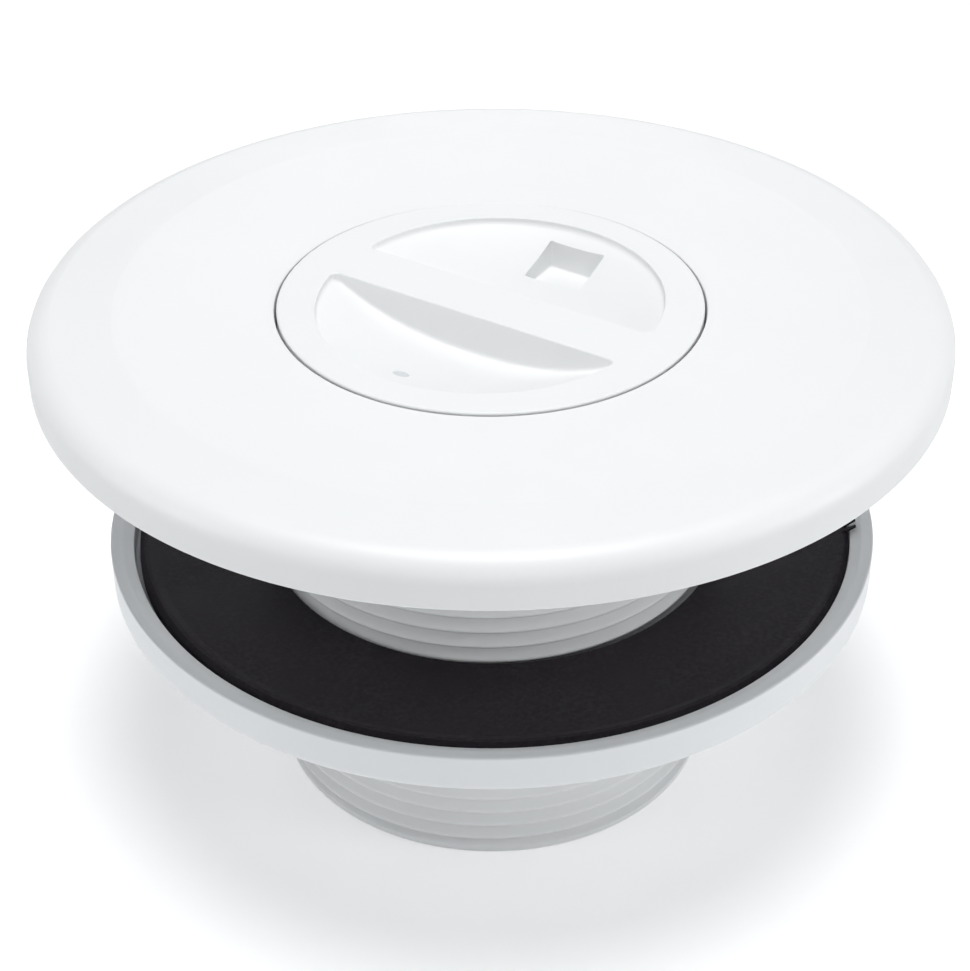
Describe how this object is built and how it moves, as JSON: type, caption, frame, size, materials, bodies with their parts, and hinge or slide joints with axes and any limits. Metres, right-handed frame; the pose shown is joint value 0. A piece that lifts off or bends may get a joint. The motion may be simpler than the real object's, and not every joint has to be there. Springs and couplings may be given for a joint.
{
  "type": "pool suction fitting",
  "caption": "Round white wall fitting for a pool, with a screw plug in its faceplate, a threaded stem, a black gasket and a flanged lock nut.",
  "frame": {"origin": "on the stem's axis, in the plane of the stem's end that it stands on", "axes": "+Z along the stem's axis, from the stem's end to the faceplate; +X to the right in the picture"},
  "size_m": [0.1176, 0.1176, 0.0692],
  "materials": {
    "body_abs": "moulded white ABS, satin",
    "plug_abs": "moulded white ABS, satin",
    "nut_abs": "moulded white ABS, satin",
    "gasket_rubber": "black EPDM rubber sheet",
    "o_ring_rubber": "black EPDM rubber"
  },
  "bodies": {
    "fitting": {"fitting_body": "body_abs"},
    "plug_carriage": {"plug_o_ring": "o_ring_rubber"},
    "plug_screw": {"plug": "plug_abs"},
    "nut_carriage": {"wall_gasket": "gasket_rubber"},
    "nut_screw": {"lock_nut": "nut_abs"}
  },
  "joints": [
    {"name": "plug_lift", "type": "slide", "parent": "fitting", "child": "plug_carriage", "axis": [0, 0, 1], "range_m": [0, 0.0104]},
    {"name": "plug_turn", "type": "hinge", "parent": "plug_carriage", "child": "plug_screw", "pos_m": [0, 0, 0.0639], "axis": [0, 0, 1], "range_deg": [0, 1620]},
    {"name": "nut_travel", "type": "slide", "parent": "fitting", "child": "nut_carriage", "axis": [0, 0, 1], "range_m": [-0.0192, 0.029]},
    {"name": "nut_turn", "type": "hinge", "parent": "nut_carriage", "child": "nut_screw", "pos_m": [0, 0, 0.028], "axis": [0, 0, 1], "range_deg": [-2990, 4515]}
  ],
  "couplings": [
    {"joint": "plug_lift", "follows": "plug_turn", "m_per_rad": 0.00036749},
    {"joint": "nut_travel", "follows": "nut_turn", "m_per_rad": 0.00036749}
  ]
}
